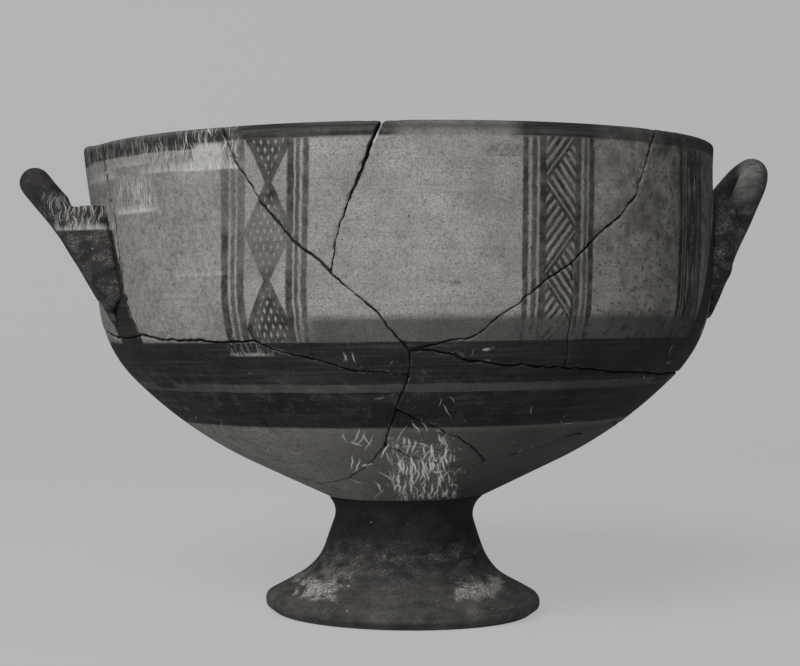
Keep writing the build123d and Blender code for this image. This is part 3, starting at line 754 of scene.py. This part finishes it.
# Broken edges: one field of small shifts for the whole cup, so that neighbouring sherds stay ragged in step
breakSettings = {
    "flat": 0.3,  # a face that looks this little away from the core is a break
    "lip": (152.0 * mm, 0.6),  # but not the rounding of the lip
    "level": 149.0 * mm,  # from here up the breaks raise nothing, so that no edge stands above the rim
    "reach": 5.0 * mm,
    "fields": [(9.0 * mm, 0.8 * mm), (2.4 * mm, 0.4 * mm)],  # size of the waves, and how far they shift
    "closed": 0.18 * mm,  # the sherds were pressed together
    "chipReach": 1.8 * mm,
    "chipSize": 3.4 * mm,
    "chipDepth": 1.5 * mm,
    "chipShare": 0.12,
}
rimSettings = {  # the rim is pulled to the left, and stands up a little at that side
    "skew": 1.5 * mm,
    "from": 126.0 * mm,
    "to": 152.0 * mm,
    "lift": 1.7 * mm,
    "liftFrom": -96.0 * mm,
    "liftFull": -105.5 * mm,
}
leaning = Euler((0, -bowlFrame["lean"], 0)).to_matrix()
core = Vector(bowlFrame["foot"]) + leaning @ (Vector(bowlFrame["core"]) * mm)


def breakTree(mesh):
    lipHeight, lipSlope = breakSettings["lip"]
    faces = []
    for face in mesh.polygons:
        outward = (face.center - core).normalized()
        onLip = face.center.z > lipHeight and face.normal.z > lipSlope
        if abs(face.normal.dot(outward)) < breakSettings["flat"] and not onLip:
            faces.append(list(face.vertices))
    return BVHTree.FromPolygons([v.co for v in mesh.vertices], faces)


def eased(value, start, full):  # from 0 at the start to 1 where it is full, without a kink
    share = min(max((value - start) / (full - start), 0.0), 1.0)
    return share * share * (3 - 2 * share)


def skewed(place):  # how far the rim is pulled at this place, sideways and up
    r = rimSettings
    up = eased(place.z, r["from"], r["to"])
    aside = eased(place.dot(Vector(bowlFrame["sideways"])), r["liftFrom"], r["liftFull"])
    return Vector((-r["skew"] * up, 0, r["lift"] * up * aside))


def raggedShift(place, outward):  # along the wall only, so that its outline stays clean
    shift = Vector((0, 0, 0))
    for size, amount in breakSettings["fields"]:
        shift += noise.noise_vector(place / size) * amount
    shift -= outward * shift.dot(outward)
    if place.z > breakSettings["level"]:
        shift.z = min(shift.z, 0.0)
    return shift


def breakUp(piece, nodeName):
    b = breakSettings
    tree = breakTree(frame["nodes"][nodeName].data)
    normals = [v.normal.copy() for v in piece.data.vertices]
    for vertex, normal in zip(piece.data.vertices, normals):
        place = vertex.co.copy()
        spot, breakNormal, _, gap = tree.find_nearest(place, b["reach"])
        moved = place.copy()
        moved += skewed(place)
        if spot is not None:
            near = 1 - gap / b["reach"]
            outward = (place - core).normalized()
            pressed = breakNormal * b["closed"]
            pressed.z = min(pressed.z, 0.0) if place.z > b["level"] else pressed.z
            moved += (raggedShift(place, outward) + pressed) * near
            if gap < b["chipReach"] and normal.dot(outward) > b["flat"]:
                chip = max(0.0, noise.noise(place / b["chipSize"]) - b["chipShare"])
                moved -= outward * chip * b["chipDepth"] * (1 - gap / b["chipReach"])
        vertex.co = moved


# Sherds of the bowl, with the size of the mesh that each is worked in
sherdSettings = {
    "left_panel_sherd": 0.47 * mm,
    "rim_wedge_sherd": 0.42 * mm,
    "centre_field_sherd": 0.47 * mm,
    "lower_panel_sherd": 0.42 * mm,
    "right_handle_sherd": 0.63 * mm,
    "left_handle_sherd": 0.52 * mm,
    "lower_left_sherd": 0.6 * mm,
    "lower_right_sherd": 0.47 * mm,
    "lower_splinter": 0.42 * mm,
    "back_sherd": 0.8 * mm,
    "floor_sherd": 0.62 * mm,
}

paintedClay = paintedClayMaterial()
darkSlip = darkSlipMaterial()
oldGlue = adhesiveMaterial()
print("materials made")

for nodeName, grid in sherdSettings.items():
    piece = copyNode(nodeName, nodeName.replace("_", " ").title().replace(" ", ""))
    applyModifier(piece, "REMESH", mode="VOXEL", voxel_size=grid)
    breakUp(piece, nodeName)
    finishPiece(piece, nodeName, paintedClay)
print("sherds made")

# Glue in the breaks, shifted with them
glue = copyNode("mending_adhesive", "mendingGlue")
applyModifier(glue, "REMESH", mode="VOXEL", voxel_size=glueLook["grid"])
for vertex in glue.data.vertices:
    place = vertex.co.copy()
    vertex.co = place + raggedShift(place, (place - core).normalized())
    vertex.co += skewed(place)
finishPiece(glue, "mending_adhesive", oldGlue)
print("glue made")

# Handles: rolled by hand, so a little uneven, with their roots pressed out on the wall in a small fillet
handleSettings = {
    "grid": 0.6 * mm,
    "smoothing": {"factor": 0.5, "iterations": 60},
    "filletHeight": 3.5 * mm,
    "filletSpread": 1.0 * mm,
    "sunk": 0.8 * mm,
    "uneven": (11.0 * mm, 0.3 * mm),
    "notch": {  # height of the level notch, and how far out it starts and is full
        "left_handle": (132.7 * mm, 113.0 * mm, 111.0 * mm),
        "right_handle": None,
    },
    "walls": {"left_handle": "left_handle_sherd", "right_handle": "right_handle_sherd"},
}


def pressOn(piece, nodeName, wallNode):
    h = handleSettings
    notch = h["notch"][nodeName]
    wall = frame["nodes"][wallNode].data
    wallTree = BVHTree.FromPolygons(
        [v.co for v in wall.vertices], [list(p.vertices) for p in wall.polygons]
    )
    size, amount = h["uneven"]
    normals = [v.normal.copy() for v in piece.data.vertices]
    for vertex, normal in zip(piece.data.vertices, normals):
        place = vertex.co.copy()
        _, wallNormal, _, gap = wallTree.find_nearest(place)
        moved = place + noise.noise_vector(place / size) * amount
        if gap < h["filletHeight"]:
            near = 1 - gap / h["filletHeight"]
            sideways = normal - wallNormal * normal.dot(wallNormal)
            moved += sideways * h["filletSpread"] * near**2
            moved -= wallNormal * h["sunk"] * near**4
        if notch and moved.z > notch[0]:  # level between the loop and the wall
            moved.z -= (moved.z - notch[0]) * eased(abs(moved.x), notch[1], notch[2])
        vertex.co = moved


for nodeName, wallNode in handleSettings["walls"].items():
    piece = copyNode(nodeName, nodeName.replace("_", " ").title().replace(" ", ""))
    applyModifier(piece, "REMESH", mode="VOXEL", voxel_size=handleSettings["grid"])
    applyModifier(piece, "SMOOTH", **handleSettings["smoothing"])
    pressOn(piece, nodeName, wallNode)
    finishPiece(piece, nodeName, darkSlip)
print("handles made")

# Foot: turned on the wheel and a little worn, but flat where it stands
footSettings = {
    "grid": 0.6 * mm,
    "uneven": (10.0 * mm, 0.3 * mm),
    "flatBelow": 1.5 * mm,
    "freeAbove": 6.0 * mm,
}
foot = copyNode("foot", "highFoot")
applyModifier(foot, "REMESH", mode="VOXEL", voxel_size=footSettings["grid"])
for vertex in foot.data.vertices:
    size, amount = footSettings["uneven"]
    free = (vertex.co.z - footSettings["flatBelow"]) / (footSettings["freeAbove"] - footSettings["flatBelow"])
    vertex.co += noise.noise_vector(vertex.co / size) * amount * min(max(free, 0.0), 1.0)
finishPiece(foot, "foot", darkSlip)
print("foot made")

# Camera at the photograph's place, turned by its small tilt
cameraSettings = {
    "place": (-100.05 * mm, -618.48 * mm, 94.0 * mm),
    "turn": math.radians(-9.0),
    "tilt": math.radians(0.7),
    "lens": 83.25,
    "sensor": 36.0,
}
bpy.ops.object.camera_add(location=cameraSettings["place"])
camera = bpy.context.active_object
camera.data.sensor_width = cameraSettings["sensor"]
camera.data.lens = cameraSettings["lens"]
camera.matrix_world = (
    Matrix.Translation(cameraSettings["place"])
    @ Matrix.Rotation(cameraSettings["turn"], 4, "Z")
    @ Matrix.Rotation(math.pi / 2, 4, "X")
    @ Matrix.Rotation(cameraSettings["tilt"], 4, "Z")
)
scene.camera = camera
print("camera set")

# Pale paper for floor and backdrop, one sheet that sweeps up behind the cup
sweepSettings = {
    "width": 9.0, "front": -4.0, "bend": 0.7, "radius": 1.2, "rise": 4.0,
    "colour": "#cacac9", "rough": 0.95, "seen": "#bababa", "lift": 0.78, "bendSteps": 16,
}
bpy.ops.object.select_all(action="DESELECT")
bpy.ops.mesh.primitive_plane_add(size=1.0)
sweep = bpy.context.active_object
sweep.name = "paperSweep"
bpy.ops.object.mode_set(mode="EDIT")
bpy.ops.transform.resize(value=(sweepSettings["width"], sweepSettings["bend"] - sweepSettings["front"], 1.0))
bpy.ops.transform.translate(value=(0, (sweepSettings["bend"] + sweepSettings["front"]) / 2, 0))
bpy.ops.mesh.select_all(action="DESELECT")
bpy.ops.object.mode_set(mode="OBJECT")
for edge in sweep.data.edges:
    edge.select = all(sweep.data.vertices[v].co.y > sweepSettings["bend"] - mm for v in edge.vertices)
bpy.ops.object.mode_set(mode="EDIT")
bpy.ops.mesh.select_mode(type="EDGE")
bendSteps = sweepSettings["bendSteps"]
for step in range(bendSteps):
    angle = (step + 0.5) * math.pi / 2 / bendSteps
    length = sweepSettings["radius"] * math.pi / 2 / bendSteps
    bpy.ops.mesh.extrude_region_move(
        TRANSFORM_OT_translate={"value": (0, length * math.cos(angle), length * math.sin(angle))}
    )
bpy.ops.mesh.extrude_region_move(TRANSFORM_OT_translate={"value": (0, 0, sweepSettings["rise"])})
bpy.ops.object.mode_set(mode="OBJECT")
bpy.ops.object.shade_smooth()
material, tree = newMaterial("matPaper")
paper = addNode(
    tree,
    "ShaderNodeBsdfPrincipled",
    {"Base Color": linear(sweepSettings["colour"]), "Roughness": sweepSettings["rough"]},
)
glow = addNode(tree, "ShaderNodeEmission", {"Color": linear(sweepSettings["seen"]), "Strength": 1.0})
path = addNode(tree, "ShaderNodeLightPath")
seen = both(tree, path.outputs["Is Camera Ray"], sweepSettings["lift"])
shown = addNode(tree, "ShaderNodeMixShader", {0: seen, 1: paper, 2: glow})
addNode(tree, "ShaderNodeOutputMaterial", {"Surface": shown})
sweep.data.materials.append(material)

lampSettings = {
    "key": {"place": (-1.0, -1.9, 1.5), "aim": (0.0, 0.0, 0.09), "size": 1.3, "power": 64.0},
}
for name, lamp in lampSettings.items():
    bpy.ops.object.light_add(type="AREA", location=lamp["place"])
    light = bpy.context.active_object
    light.name = name + "Lamp"
    light.data.size = lamp["size"]
    light.data.energy = lamp["power"]
    aim = Vector(lamp["aim"]) - Vector(lamp["place"])
    light.rotation_euler = aim.to_track_quat("-Z", "Y").to_euler()
# Weak even light from the room, which looks like the paper where the camera sees past the sheet
roomSettings = {"light": 0.11, "colour": "#ffffff", "beyond": "#b4b4b3"}
world = bpy.data.worlds.new("studio")
scene.world = world
world.use_nodes = True
world.node_tree.nodes.clear()
room = addNode(
    world.node_tree,
    "ShaderNodeBackground",
    {"Color": linear(roomSettings["colour"]), "Strength": roomSettings["light"]},
)
beyond = addNode(
    world.node_tree, "ShaderNodeBackground", {"Color": linear(roomSettings["beyond"]), "Strength": 1.0}
)
path = addNode(world.node_tree, "ShaderNodeLightPath")
seen = path.outputs["Is Camera Ray"]
shown = addNode(world.node_tree, "ShaderNodeMixShader", {0: seen, 1: room, 2: beyond})
addNode(world.node_tree, "ShaderNodeOutputWorld", {"Surface": shown})
print("stage and light set")
